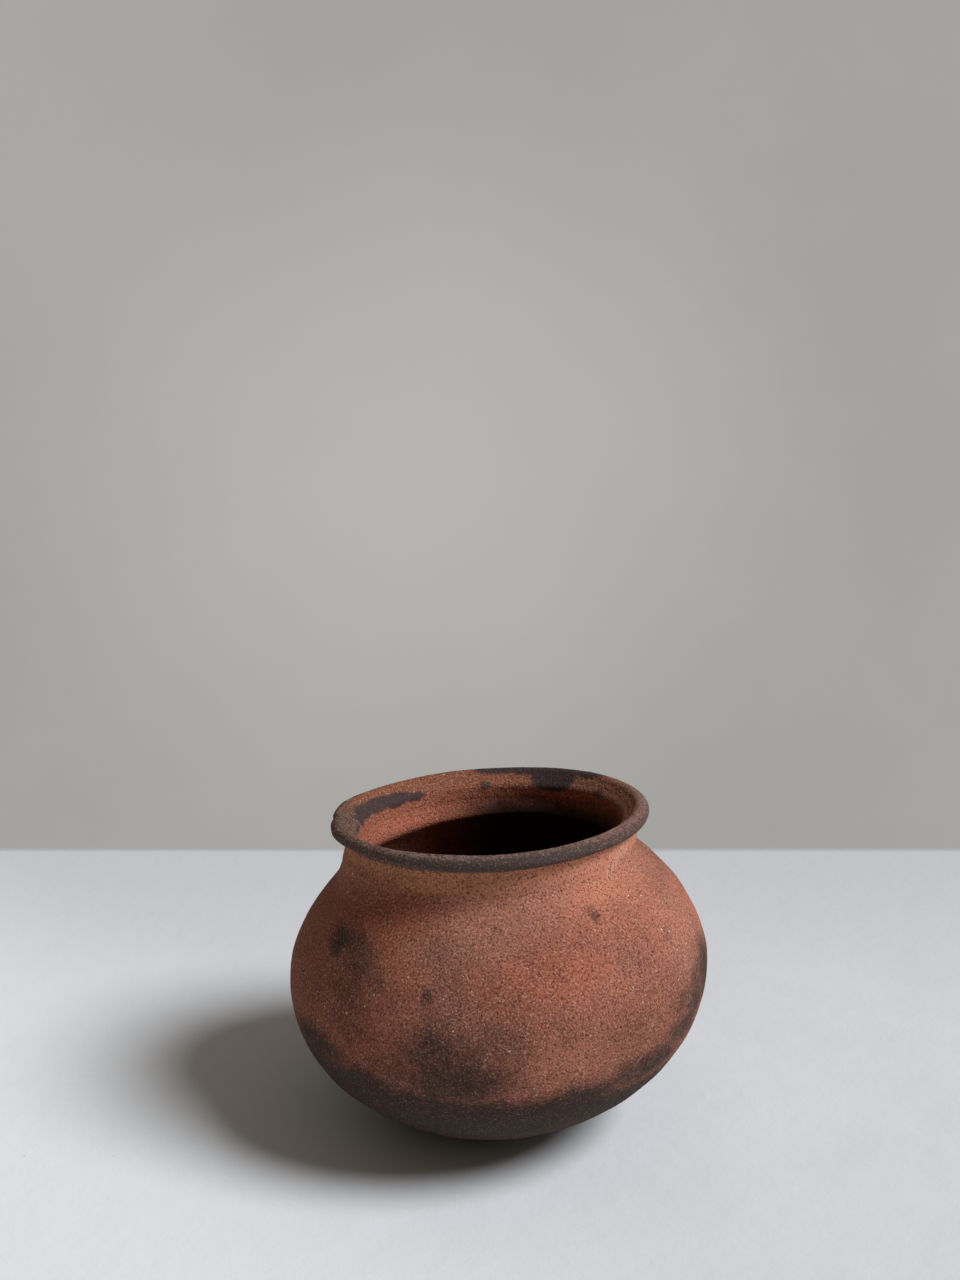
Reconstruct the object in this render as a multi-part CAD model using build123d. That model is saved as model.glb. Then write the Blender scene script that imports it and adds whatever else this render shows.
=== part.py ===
from build123d import *
import os
from math import asin, cos, degrees, radians, sin, tan

# A round-bottomed hand-built clay pot, in millimetres. Every piece is first built in the
# pot's own frame, with the origin at the middle of the belly and +Z along the pot's axis.
# The whole pot then leans to one side, stands on a worn flat and moves to the row's frame.

# Body outside
belly_radius = 110.0
bowl_depth = 81.5           # from the belly line down to the pole of the round bottom
shoulder_height = 89.5      # where the shoulder's curve would close if there were no mouth
bowl_exponent = 2.05        # 2 is an ellipse, and less than 2 is a leaner, more pointed curve
shoulder_exponent = 1.73

# Body inside
wall_belly = 7.0
wall_base = 8.0
wall_shoulder = 6.0

# Courses of clay, by the angle on the body's curve where one ends and the next begins
base_angle = -41.0
belly_angle = 0.0
shoulder_angle = 27.0
shoulder_mouth_radius = 79.0    # outside radius where the shoulder stops and the neck begins
points_per_course = 7

# Rim, on an axis of its own that is tilted against the body's
rim_tilt_right = 2.4
rim_tilt_back = 1.5
rim_shift_right = 0.6           # the rim's axis passes this far from the middle of the belly
rim_seat_height = 67.5
lip_centre_radius = 78.9
lip_centre_height = 79.2
lip_edge_radius = 3.9
lip_underside_angle = 32.0      # from the rim's axis
flange_angle = 44.0             # from the rim's plane
throat_radius = 69.0
throat_edge_radius = 1.6
rim_seat_inner_radius = 69.6

# Stance
lean_to_left = 5.94
worn_flat_depth = 1.6


def superellipse(angle, radius, height, exponent):
    """Point (r, z) of a quarter curve that starts at the belly and ends on the axis."""
    power = 2 / exponent
    side = 1 if angle >= 0 else -1
    turn = radians(abs(angle))
    return radius * cos(turn) ** power, side * height * sin(turn) ** power


def outside(angle):
    """Point (r, z) of the body's outer curve, below the belly for a negative angle."""
    if angle < 0:
        return superellipse(angle, belly_radius, bowl_depth, bowl_exponent)
    return superellipse(angle, belly_radius, shoulder_height, shoulder_exponent)


def inside(angle):
    """Point (r, z) of the body's inner curve at the same angle."""
    radius = belly_radius - wall_belly
    if angle < 0:
        return superellipse(angle, radius, bowl_depth - wall_base, bowl_exponent)
    return superellipse(angle, radius, shoulder_height - wall_shoulder, shoulder_exponent)


def angle_at_height(height, full_height):
    """Angle on a shoulder curve of the given full height where it reaches a height."""
    return degrees(asin((height / full_height) ** (shoulder_exponent / 2)))


def angle_at_radius(radius):
    """Angle on the outer shoulder curve where it has drawn in to a radius."""
    cosine = (radius / belly_radius) ** (shoulder_exponent / 2)
    return 90 - degrees(asin(cosine))


def curve_between(curve, start, end):
    """Smooth edge along one of the two curves, in the XZ plane."""
    step = (end - start) / (points_per_course - 1)
    flat = [curve(start + step * count) for count in range(points_per_course)]
    return Spline(*[(r, 0, z) for r, z in flat])


def turned_ring(edges):
    """Solid of revolution about +Z of the closed outline that the edges make."""
    return revolve(make_face(edges), axis=Axis.Z)


def course(outer_start, outer_end, inner_start, inner_end):
    """One course of the body's wall between two joint faces."""
    outer = curve_between(outside, outer_start, outer_end)
    inner = curve_between(inside, inner_start, inner_end)
    lower_joint = Line(outer @ 0, inner @ 0)
    upper_joint = Line(outer @ 1, inner @ 1)
    return turned_ring([outer, upper_joint, inner, lower_joint])


def rim_ring():
    """Flaring lip with a round edge, a sloping top and a small ridge at the throat."""
    centre = Vector(lip_centre_radius, lip_centre_height)
    sweep = lip_underside_angle + 90 + flange_angle
    edge = CenterArc(centre, lip_edge_radius, -lip_underside_angle, sweep)
    underside_rise = (edge @ 0).Y - rim_seat_height
    seat_outer = ((edge @ 0).X - underside_rise * tan(radians(lip_underside_angle)), rim_seat_height)
    flange_run = (edge @ 1).X - throat_radius
    throat = (throat_radius, (edge @ 1).Y - flange_run * tan(radians(flange_angle)))
    seat_inner = (rim_seat_inner_radius, rim_seat_height)
    inner_line = FilletPolyline(edge @ 1, throat, seat_inner, radius=throat_edge_radius)
    underside = Line(seat_outer, edge @ 0)
    seat = Line(seat_inner, seat_outer)
    outline = make_face([underside, edge, *inner_line.edges(), seat])
    return revolve(Plane.XZ * outline, axis=Axis.Z), seat_outer[0]


def neck_ring(mouth_height, mouth_inner_radius, rim_frame, seat_outer_radius):
    """Collar that joins the shoulder's mouth to the tilted seat of the rim."""
    mouth = Plane.XY.offset(mouth_height)
    seat = rim_frame.offset(rim_seat_height)
    skin = loft([mouth * Circle(shoulder_mouth_radius), seat * Circle(seat_outer_radius)], ruled=True)
    bore = loft([mouth * Circle(mouth_inner_radius), seat * Circle(rim_seat_inner_radius)], ruled=True)
    return skin - bore


mouth_angle = angle_at_radius(shoulder_mouth_radius)
mouth_height = outside(mouth_angle)[1]
mouth_inner_angle = angle_at_height(mouth_height, shoulder_height - wall_shoulder)
mouth_inner_radius = inside(mouth_inner_angle)[0]

rim_axis = Vector(tan(radians(rim_tilt_right)), tan(radians(rim_tilt_back)), 1)
rim_frame = Plane(origin=(rim_shift_right, 0, 0), z_dir=rim_axis)
rim_lip, seat_outer_radius = rim_ring()

# The bottom is one bowl, so its outline closes on the axis instead of at a lower joint.
pole_axis = Line((0, 0, outside(-90)[1]), (0, 0, inside(-90)[1]))
bowl_outer = curve_between(outside, -90, base_angle)
bowl_inner = curve_between(inside, -90, base_angle)
bowl_joint = Line(bowl_outer @ 1, bowl_inner @ 1)
base_bowl = turned_ring([pole_axis, bowl_outer, bowl_joint, bowl_inner])

pieces = {
    "base_bowl": base_bowl,
    "lower_belly_band": course(base_angle, belly_angle, base_angle, belly_angle),
    "upper_belly_band": course(belly_angle, shoulder_angle, belly_angle, shoulder_angle),
    "shoulder_band": course(shoulder_angle, mouth_angle, shoulder_angle, mouth_inner_angle),
    "neck_collar": neck_ring(mouth_height, mouth_inner_radius, rim_frame, seat_outer_radius),
    "rim_lip": rim_frame * rim_lip,
}

# Lean the pot, wear the low point of its bottom to a flat, and stand it on the floor with
# the origin under the middle of its bounding box.
leaning = {name: Rot(0, -lean_to_left, 0) * piece for name, piece in pieces.items()}
floor_height = leaning["base_bowl"].bounding_box().min.Z + worn_flat_depth
leaning["base_bowl"] = split(leaning["base_bowl"], bisect_by=Plane.XY.offset(floor_height), keep=Keep.TOP)
whole = Compound(children=[Compound(piece.solids()) for piece in leaning.values()])
box = whole.bounding_box()
stand = Pos(-box.center().X, -box.center().Y, -floor_height)

os.makedirs("parts", exist_ok=True)
for name, piece in leaning.items():
    placed = stand * piece
    export_step(placed, f"parts/{name}.step")
    print(name, len(placed.solids()), round(placed.volume / 1000, 1), "cm3")

flat = (stand * leaning["base_bowl"]).faces().sort_by(Axis.Z)[0]
print("belly centre", stand.position, "size", box.size)
print("worn flat", flat.center(), "area", round(flat.area), "mm2")
print("neck", round(mouth_height, 2), round(mouth_inner_radius, 2), round(seat_outer_radius, 2))
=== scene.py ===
import math
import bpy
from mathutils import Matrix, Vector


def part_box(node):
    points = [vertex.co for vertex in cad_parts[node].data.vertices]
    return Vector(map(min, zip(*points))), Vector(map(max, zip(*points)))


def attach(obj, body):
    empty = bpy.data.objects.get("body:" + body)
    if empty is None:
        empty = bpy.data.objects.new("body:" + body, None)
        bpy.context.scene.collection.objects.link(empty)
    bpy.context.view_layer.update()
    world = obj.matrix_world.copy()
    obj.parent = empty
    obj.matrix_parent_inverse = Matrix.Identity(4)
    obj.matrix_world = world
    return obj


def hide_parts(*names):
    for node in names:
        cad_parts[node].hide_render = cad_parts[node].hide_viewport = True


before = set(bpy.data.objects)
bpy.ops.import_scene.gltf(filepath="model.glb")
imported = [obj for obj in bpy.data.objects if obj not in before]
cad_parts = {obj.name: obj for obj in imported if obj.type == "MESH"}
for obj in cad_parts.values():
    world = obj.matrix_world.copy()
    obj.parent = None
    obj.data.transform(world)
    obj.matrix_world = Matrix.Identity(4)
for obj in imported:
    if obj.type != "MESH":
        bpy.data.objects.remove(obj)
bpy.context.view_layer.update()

from types import SimpleNamespace

import bpy
import numpy as np
from bpy.props import FloatProperty, FloatVectorProperty, IntProperty, PointerProperty
from mathutils import Matrix, Vector, noise

bl_info = {
    "name": "Hand-Built Clay Pot",
    "version": (1, 0, 0),
    "blender": (4, 5, 0),
    "location": "3D View > Sidebar > Clay Pot",
    "description": "Builds a leaning round-bottomed clay pot, course by course, with its smoke marks",
    "category": "Add Mesh",
}

MM = 0.001


def belt_radius():
    """Half the width of the belly's course, which is the belly's radius."""
    low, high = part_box("lower_belly_band")
    return (high[1] - low[1]) / 2


def length_property(name, description, default):
    """A property that holds a length."""
    return FloatProperty(name=name, description=description, default=default, min=0.0,
                         subtype="DISTANCE", unit="LENGTH", precision=5)


def angle_property(name, description, degrees):
    """A property that holds an angle."""
    return FloatProperty(name=name, description=description, default=math.radians(degrees),
                         subtype="ANGLE", unit="ROTATION")


def colour_property(name, description, default):
    """A property that holds a colour, in linear light."""
    return FloatVectorProperty(name=name, description=description, default=default,
                               subtype="COLOR", size=3, min=0.0, max=1.0)


class PotSizes(bpy.types.PropertyGroup):
    """The pot's own sizes."""

    belly_radius: length_property("Belly radius", "Outside radius at the widest place", belt_radius())
    bowl_depth: length_property("Bowl depth", "From the belly line to the pole", 81.5 * MM)
    shoulder_height: length_property("Shoulder height", "Where the shoulder's curve would close", 89.5 * MM)
    wall_belly: length_property("Belly wall", "Wall at the widest place", 7.0 * MM)
    wall_base: length_property("Base wall", "Wall at the pole", 8.0 * MM)
    wall_shoulder: length_property("Shoulder wall", "Wall at the shoulder", 6.0 * MM)
    mouth_radius: length_property("Mouth radius", "Where the shoulder ends and the neck begins", 79.0 * MM)
    rim_seat_height: length_property("Rim seat", "Height of the rim's joint on its own axis", 67.5 * MM)
    rim_seat_outer: length_property("Seat width", "Outside radius of the rim's joint", 76.2 * MM)
    rim_seat_inner: length_property("Seat bore", "Inside radius of the rim's joint", 69.6 * MM)
    lip_radius: length_property("Lip radius", "Radius of the lip edge's centre line", 78.9 * MM)
    lip_height: length_property("Lip height", "Height of the lip edge's centre line", 79.2 * MM)
    lip_edge: length_property("Lip edge", "Radius of the round edge of the lip", 3.9 * MM)
    throat_radius: length_property("Throat", "Radius of the narrowest place in the mouth", 69.0 * MM)
    rim_shift: length_property("Rim shift", "How far the rim's axis misses the belly's middle", 0.6 * MM)
    worn_flat: length_property("Worn flat", "How much of the round bottom is worn away", 1.6 * MM)
    lean: angle_property("Lean", "How far the pot leans to the left", 5.94)
    rim_tilt_right: angle_property("Rim tilt, right", "Tilt of the rim against the body", 2.4)
    rim_tilt_back: angle_property("Rim tilt, back", "Tilt of the rim against the body", 1.5)
    columns_per_side: IntProperty(name="Columns per quarter", description="Mesh columns in a quarter turn",
                                  default=160, min=16, max=320)
    row: length_property("Row", "Spacing of the mesh rows outside", 1.0 * MM)
    inner_row: length_property("Inner row", "Spacing of the mesh rows inside", 1.9 * MM)


class HandMarks(bpy.types.PropertyGroup):
    """How uneven the potter's hands left the clay."""

    lumps: length_property("Lumps", "Height of the broad unevenness", 0.55 * MM)
    lump_size: length_property("Lump size", "Width of the broad unevenness", 48.0 * MM)
    beaten: length_property("Beaten marks", "Height of the marks of the beater", 0.22 * MM)
    beaten_size: length_property("Beaten mark size", "Width of one mark", 15.0 * MM)
    grit: length_property("Grit", "Height of the sand that stands proud", 0.07 * MM)
    grit_size: length_property("Grit size", "Spacing of the coarser sand", 1.9 * MM)
    rim_wave: length_property("Rim wave", "How far the rim rises and falls", 0.45 * MM)
    wheel_lines: length_property("Wheel lines", "Depth of the turning lines on the rim", 0.10 * MM)


class ClayColours(bpy.types.PropertyGroup):
    """Colours of the fired clay and of the painted light and shade on it, in linear light."""

    red: colour_property("Red clay", "The clay where the fire was clean", (0.430, 0.142, 0.086))
    brown: colour_property("Brown clay", "The clay where the fire was dull", (0.270, 0.098, 0.064))
    vivid: colour_property("Vivid clay", "The reddest places on the shoulder", (0.400, 0.088, 0.035))
    ochre: colour_property("Ochre clay", "The yellowish band under the rim", (0.520, 0.215, 0.104))
    # The sand colour is greyish sandy clay together with a painted sheen at the front.
    sand: colour_property("Sand", "The rubbed greyish places", (0.380, 0.185, 0.130))
    # The pale colour paints light onto the right shoulder and neck, which face the window.
    pale: colour_property("Pale clay", "The palest clay, on the right shoulder", (0.700, 0.275, 0.175))
    # The dusky colour paints shade onto the left side and the left of the neck, away from the window; it
    # also reddens the back of the rim's slope.
    dusky: colour_property("Dusky clay", "The darker red of the left side", (0.250, 0.078, 0.039))
    # Painted highlight for the top of the lip, which the light from above brightens.
    rubbed_and_lit: colour_property("Rubbed lip", "Where hands rubbed the top of the lip", (0.250, 0.165, 0.145))
    # Painted shade: the dark of the inner wall below the neck, where little light reaches.
    painted_inner_shade: colour_property("Depths", "The wall below the neck, black with smoke", (0.022, 0.007, 0.004))
    inner: colour_property("Inner clay", "The clean clay inside the mouth", (0.500, 0.148, 0.080))
    lip_brown: colour_property("Lip brown", "The smoky brown of the lip", (0.094, 0.050, 0.038))
    pale_grain: colour_property("Pale grain", "Light grains of grit", (0.600, 0.365, 0.265))
    dark_grain: colour_property("Dark grain", "Dark grains and pits", (0.060, 0.026, 0.018))
    quartz: colour_property("Quartz", "Rare white grains", (0.850, 0.760, 0.660))
    soot: colour_property("Soot", "Smoke marks on the body", (0.031, 0.022, 0.017))
    plum_soot: colour_property("Plum soot", "Smoke marks on the rim", (0.040, 0.028, 0.029))
    charcoal: colour_property("Charcoal", "The lip's smoked outer edge", (0.066, 0.049, 0.043))
    ash: colour_property("Ash", "The greyish bloom on the bottom", (0.090, 0.072, 0.062))


class StudioSettings(bpy.types.PropertyGroup):
    """Camera, light and floor."""

    lens: FloatProperty(name="Lens", description="Focal length in millimetres", default=37.97,
                        min=10, max=200)
    camera_distance: length_property("Camera distance", "Along the floor, from the pot", 0.674)
    camera_height: length_property("Camera height", "Above the floor", 0.3825)
    camera_offset: FloatProperty(name="Camera offset", description="To the left is negative",
                                 default=-0.0094, unit="LENGTH", subtype="DISTANCE")
    camera_pitch: angle_property("Camera pitch", "Below the horizon", 10.93)
    window_strength: FloatProperty(name="Window strength", description="Of the light from the right",
                                   default=3.25, min=0)
    window_height: angle_property("Window height", "Above the horizon", 47.5)
    window_side: angle_property("Window side", "Towards the viewer from straight right", 18.0)
    window_width: angle_property("Window width", "How wide the window looks from the pot", 25.0)
    room: colour_property("Room", "The wall behind the pot", (0.385, 0.380, 0.366))
    shade: colour_property("Shade", "The dim side of the room", (0.090, 0.070, 0.050))
    ceiling: colour_property("Ceiling", "Light from above", (0.165, 0.148, 0.128))
    floor: colour_property("Floor", "The floor", (0.74, 0.75, 0.77))
    floor_end: length_property("Floor end", "Where the floor ends behind the pot", 0.395)


# Where each course of clay ends, as an angle on the body's curve: -90 is the pole of the
# bottom, 0 the belly and 90 the point where the shoulder would close.
BASE_ANGLE = -41.0
BELLY_ANGLE = 0.0
SHOULDER_ANGLE = 27.0
BOWL_EXPONENT = 2.05
SHOULDER_EXPONENT = 1.73
LIP_UNDERSIDE = math.radians(65)
FLANGE_SLOPE = math.radians(44)
THROAT_EDGE = 3.0 * MM
EDGE_POINTS = 44
THROAT_POINTS = 14
GHOST_ROWS = 3
# The neck between the body and the rim: its rows, how strongly its curve bends, how much the
# rim leans out where it meets the neck, and the step that finds the body's slope at the mouth.
NECK_ROWS_OUTSIDE = 16
NECK_ROWS_INSIDE = 9
NECK_BEND = 0.38
NECK_FLARE = 0.08
SLOPE_STEP = 0.5
# What thumbs did to the left of the rim: the neck filled out, the lip's underside lifted, a
# corner of the lip swollen at one azimuth, and a seam left open.
NECK_FILL = 2.1 * MM
LIP_LIFT = 1.5 * MM
CORNER_SWELL = 1.9 * MM
CORNER_AZIMUTH = 162
CORNER_SPREAD = 15
SEAM_HEIGHT = 74.0 * MM
SEAM_WIDTH = 0.9 * MM
SEAM_DEPTH = 0.6 * MM
# The rim's waves: share of the height, waves in a turn and where they start.
RIM_WAVES = ((0.6, 2, 0.7), (0.4, 3, 2.0), (0.25, 7, 1.1))
# Chips out of the lip: azimuth in degrees, radius and height on the rim, width and depth in mm.
CHIPS = (
    (178.5, 84.0, 79.8, 7.0, 1.25),
    (157.0, 85.2, 81.0, 6.0, 1.00),
    (148.0, 82.4, 82.0, 2.2, 0.90),
    (212.0, 82.6, 79.0, 2.4, 0.35),
    (304.0, 82.4, 80.6, 2.0, 0.30),
    (62.0, 82.5, 80.5, 2.6, 0.45),
)


def ease(low, high, value):
    """0 below low, 1 above high, and a smooth rise between them."""
    share = np.clip((value - low) / (high - low), 0, 1)
    return share * share * (3 - 2 * share)


def turn_about(azimuth, radius, height):
    """Points (rows, columns, 3) of a turned surface about +Z."""
    radius, height = np.atleast_1d(radius)[:, None], np.atleast_1d(height)[:, None]
    return np.stack([radius * np.cos(azimuth), radius * np.sin(azimuth),
                     height + 0 * azimuth], axis=-1)


def distances(radius, height):
    """The way travelled along a curve at each of its points."""
    return np.concatenate([[0], np.cumsum(np.hypot(np.diff(radius), np.diff(height)))])


def along(curve, start, end, spacing):
    """Values from start to end whose points on the curve are about one spacing apart."""
    fine = np.linspace(start, end, 600)
    travelled = distances(*curve(fine))
    steps = max(2, math.ceil(travelled[-1] / spacing))
    return np.interp(np.linspace(0, travelled[-1], steps + 1), travelled, fine)


def arc(centre, radius, start, end, count):
    """Points of a round stretch of an outline."""
    turn = np.linspace(start, end, count)
    return np.stack([centre[0] + radius * np.cos(turn), centre[1] + radius * np.sin(turn)], axis=-1)


def blend_curve(start, start_way, end, end_way, rows):
    """Smooth rows in space from start to end that leave and arrive along the given ways."""
    span = np.linalg.norm(end - start, axis=-1, keepdims=True) * NECK_BEND
    near, far = start + start_way * span, end - end_way * span
    share = np.linspace(0, 1, rows)[:, None, None]
    rest = 1 - share
    return rest ** 3 * start + 3 * rest ** 2 * share * near + 3 * rest * share ** 2 * far + share ** 3 * end


def surface_normals(points, closed=True):
    """Unit normals of a grid of points, whose columns close on themselves if closed is set."""
    if closed:
        across = np.roll(points, -1, axis=1) - np.roll(points, 1, axis=1)
    else:
        across = np.gradient(points, axis=1)
    up = np.gradient(points, axis=0)
    normal = np.cross(across, up)
    return normal / np.maximum(np.linalg.norm(normal, axis=-1, keepdims=True), 1e-12)


class PotShape:
    """The pot's clay as smooth curves, and as the uneven surface that the hands left."""

    def __init__(self, sizes, hand):
        self.sizes = sizes
        self.hand = hand
        self.columns = 4 * sizes.columns_per_side
        self.azimuth = -math.pi / 4 + np.arange(self.columns) * 2 * math.pi / self.columns
        self.lean = np.array(Matrix.Rotation(-sizes.lean, 3, "Y"))
        axis = Vector((math.tan(sizes.rim_tilt_right), math.tan(sizes.rim_tilt_back), 1))
        self.rim_turn = np.array(Vector((0, 0, 1)).rotation_difference(axis).to_matrix())
        self.mouth_angle = self.angle_where_radius(sizes.mouth_radius)
        self.mouth_height = float(self.outside(self.mouth_angle)[1])
        self.shift = np.zeros(3)
        self.shift = self.find_stand()
        self.build_skin()
        self.outer_cap, self.outer_cap_normals = self.cap(self.outside, 0, 1)
        self.inner_cap, self.inner_cap_normals = self.cap(self.inside, -1, -1)

    # The curves of the wall, in the pot's own frame

    def outside(self, angle):
        """Radius and height on the outer curve."""
        sizes = self.sizes
        return self.quarter(angle, sizes.belly_radius, sizes.bowl_depth, sizes.shoulder_height)

    def inside(self, angle):
        """Radius and height on the inner curve."""
        sizes = self.sizes
        return self.quarter(angle, sizes.belly_radius - sizes.wall_belly,
                            sizes.bowl_depth - sizes.wall_base, sizes.shoulder_height - sizes.wall_shoulder)

    @staticmethod
    def quarter(angle, radius, depth, height):
        """A bowl's curve below angle 0 and a leaner shoulder's curve above it."""
        turn = np.radians(np.abs(angle))
        power = np.where(np.asarray(angle) < 0, 2 / BOWL_EXPONENT, 2 / SHOULDER_EXPONENT)
        full = np.where(np.asarray(angle) < 0, -depth, height)
        cosine = np.maximum(np.cos(turn), 0)
        return radius * cosine ** power, full * np.sin(turn) ** power

    def angle_where_radius(self, radius):
        """Angle on the outer shoulder where it has drawn in to a radius."""
        return math.degrees(math.acos((radius / self.sizes.belly_radius) ** (SHOULDER_EXPONENT / 2)))

    def inner_angle_at_mouth(self):
        """Angle on the inner shoulder at the height where the outer one stops."""
        full = self.sizes.shoulder_height - self.sizes.wall_shoulder
        return math.degrees(math.asin((self.mouth_height / full) ** (SHOULDER_EXPONENT / 2)))

    def rim_outline(self):
        """The rim's outline from its outer seat, over the lip, down to its inner seat."""
        sizes = self.sizes
        top = math.pi / 2 + FLANGE_SLOPE
        edge = arc((sizes.lip_radius, sizes.lip_height), sizes.lip_edge, -LIP_UNDERSIDE, top, EDGE_POINTS)
        seat = (sizes.rim_seat_outer, sizes.rim_seat_height)
        crease = (sizes.rim_seat_outer + 1.1 * MM, edge[0, 1] - 1.4 * MM)
        below = (sizes.rim_seat_outer + 0.35 * MM, crease[1] - 1.8 * MM)
        throat_height = edge[-1, 1] - (edge[-1, 0] - sizes.throat_radius) * math.tan(FLANGE_SLOPE)
        corner = THROAT_EDGE * math.tan((math.pi / 2 - FLANGE_SLOPE) / 2)
        centre = (sizes.throat_radius + THROAT_EDGE, throat_height - corner)
        throat = arc(centre, THROAT_EDGE, top, math.pi, THROAT_POINTS)
        inner_seat = (sizes.rim_seat_inner, sizes.rim_seat_height)
        return np.vstack([[seat, below, crease], edge, throat, [inner_seat]])

    # From the pot's own frame to the row's frame

    def stand(self, points):
        """Leans points of the pot's frame and stands them on the floor."""
        return points @ self.lean.T + self.shift

    def on_body(self, radius, height, azimuth=None):
        """Points turned about the body's axis."""
        return self.stand(turn_about(self.azimuth if azimuth is None else azimuth, radius, height))

    def on_rim(self, radius, height, azimuth=None):
        """Points turned about the rim's tilted axis."""
        local = turn_about(self.azimuth if azimuth is None else azimuth, radius, height)
        return self.stand(local @ self.rim_turn.T + np.array([self.sizes.rim_shift, 0, 0]))

    def body_way(self, way):
        """A direction (radial, up) of the body's outline at every column."""
        return turn_about(self.azimuth, way[0], way[1])[0] @ self.lean.T

    def rim_way(self, way):
        """A direction (radial, up) of the rim's outline at every column."""
        return turn_about(self.azimuth, way[0], way[1])[0] @ self.rim_turn.T @ self.lean.T

    def find_stand(self):
        """The move that puts the worn flat on the floor and the box's middle over the origin."""
        radius, height = self.outside(np.linspace(-90, self.mouth_angle, 900))
        points = self.on_body(radius, height)
        middle = (points.min(axis=(0, 1)) + points.max(axis=(0, 1))) / 2
        return np.array([-middle[0], -middle[1], -points[..., 2].min() - self.sizes.worn_flat])

    # The skin: one grid of rows from the base joint up the outside, over the lip and down inside

    def build_skin(self):
        """Fills skin, normals and starts, the first row of each stretch of the wall."""
        outer, row = self.outside, self.sizes.row
        inner, inner_row = self.inside, self.sizes.inner_row
        stretches = {
            "below_outside": self.body_rows(outer, self.ghost_angle(row), BASE_ANGLE, row),
            "lower_outside": self.body_rows(outer, BASE_ANGLE, BELLY_ANGLE, row),
            "upper_outside": self.body_rows(outer, BELLY_ANGLE, SHOULDER_ANGLE, row),
            "shoulder_outside": self.body_rows(outer, SHOULDER_ANGLE, self.mouth_angle, row),
            "neck_outside": self.neck_outside(),
            "rim": self.rim_rows(),
            "neck_inside": self.neck_inside(),
            "shoulder_inside": self.body_rows(inner, self.inner_angle_at_mouth(), SHOULDER_ANGLE, inner_row),
            "upper_inside": self.body_rows(inner, SHOULDER_ANGLE, BELLY_ANGLE, inner_row),
            "lower_inside": self.body_rows(inner, BELLY_ANGLE, BASE_ANGLE, inner_row),
            "below_inside": self.body_rows(inner, BASE_ANGLE, self.ghost_angle(inner_row), inner_row),
        }
        at, first = {}, 0
        for name, rows in stretches.items():
            at[name] = first
            first += len(rows) - 1
        last_row = stretches["below_inside"][-1:]
        smooth = np.concatenate([rows[:-1] for rows in stretches.values()] + [last_row])
        turning = [at[name] for name in ("neck_outside", "rim", "neck_inside", "shoulder_inside")]
        rim_share = np.interp(np.arange(len(smooth)), turning, [0, 1, 1, 0])[:, None]
        uneven = self.worked(smooth, surface_normals(smooth), rim_share)
        keep = slice(at["lower_outside"], at["below_inside"] + 1)
        self.skin, self.normals = uneven[keep], surface_normals(uneven)[keep]
        self.starts = {name: first - at["lower_outside"] for name, first in at.items()}

    def ghost_angle(self, spacing):
        """A little beyond the base joint, so that normals there see the clay on both sides."""
        return BASE_ANGLE - math.degrees(GHOST_ROWS * spacing / self.sizes.belly_radius)

    def body_rows(self, curve, start, end, spacing):
        """Rows of the body between two angles."""
        return self.on_body(*curve(along(curve, start, end, spacing)))

    def rim_rows(self):
        """Rows of the rim from its outer seat over the lip to its inner seat."""
        outline = self.rim_outline()
        travelled = distances(*outline.T)
        count = math.ceil(travelled[-1] / (0.75 * self.sizes.row))
        even = np.linspace(0, travelled[-1], count + 1)
        return self.on_rim(*(np.interp(even, travelled, values) for values in outline.T))

    def neck_outside(self):
        """Outer rows of the neck, which bends from the body's circle to the rim's."""
        body_circle = self.on_body(self.sizes.mouth_radius, self.mouth_height)[0]
        leave = self.body_way(self.slope(self.outside, self.mouth_angle - SLOPE_STEP, self.mouth_angle))
        rim_circle = self.on_rim(*self.rim_outline()[0])[0]
        arrive = self.rim_way((NECK_FLARE, 1.0))
        return blend_curve(body_circle, leave, rim_circle, arrive, NECK_ROWS_OUTSIDE)

    def neck_inside(self):
        """Inner rows of the neck, from the rim's circle down to the body's."""
        mouth = self.inner_angle_at_mouth()
        rim_circle = self.on_rim(*self.rim_outline()[-1])[0]
        body_circle = self.on_body(*self.inside(mouth))[0]
        arrive = self.body_way(self.slope(self.inside, mouth, mouth - SLOPE_STEP))
        return blend_curve(rim_circle, self.rim_way((0.0, -1.0)), body_circle, arrive, NECK_ROWS_INSIDE)

    @staticmethod
    def slope(curve, start, end):
        """Unit direction (radial, up) from one angle of a curve to another."""
        way = np.subtract(curve(end), curve(start))
        return way / np.linalg.norm(way)

    def cap(self, curve, border_row, side):
        """A bowl-shaped cap on a square grid, whose border is one row of the skin."""
        count = self.sizes.columns_per_side
        step = np.linspace(-1, 1, count + 1)
        right, back = np.meshgrid(step, step)
        wide = np.abs(right) >= np.abs(back)
        reach = np.where(wide, right, back)
        safe = np.where(reach == 0, 1, reach)
        turn = np.where(wide, math.pi / 4 * back / safe, math.pi / 2 - math.pi / 4 * right / safe)
        angle = -90 + np.abs(reach) * (90 + BASE_ANGLE)
        azimuth = turn + np.where(reach < 0, math.pi, 0)
        radius, height = curve(angle)
        local = np.stack([radius * np.cos(azimuth), radius * np.sin(azimuth), height], axis=-1)
        smooth = self.stand(local)
        facing = surface_normals(smooth, closed=False) * -side
        points = self.worked(smooth, facing, np.zeros(smooth.shape[:2]))
        normals = surface_normals(points, closed=False) * -side
        for column, (i, j) in enumerate(self.cap_border()):
            points[i, j] = self.skin[border_row, column]
            normals[i, j] = self.normals[border_row, column]
        return points, normals

    def cap_border(self):
        """Grid places of the cap's border, in the order of the skin's columns."""
        count = self.sizes.columns_per_side
        return ([(k, count) for k in range(count)] + [(count, count - k) for k in range(count)]
                + [(count - k, 0) for k in range(count)] + [(0, k) for k in range(count)])

    # What the hands left on the clay

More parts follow.
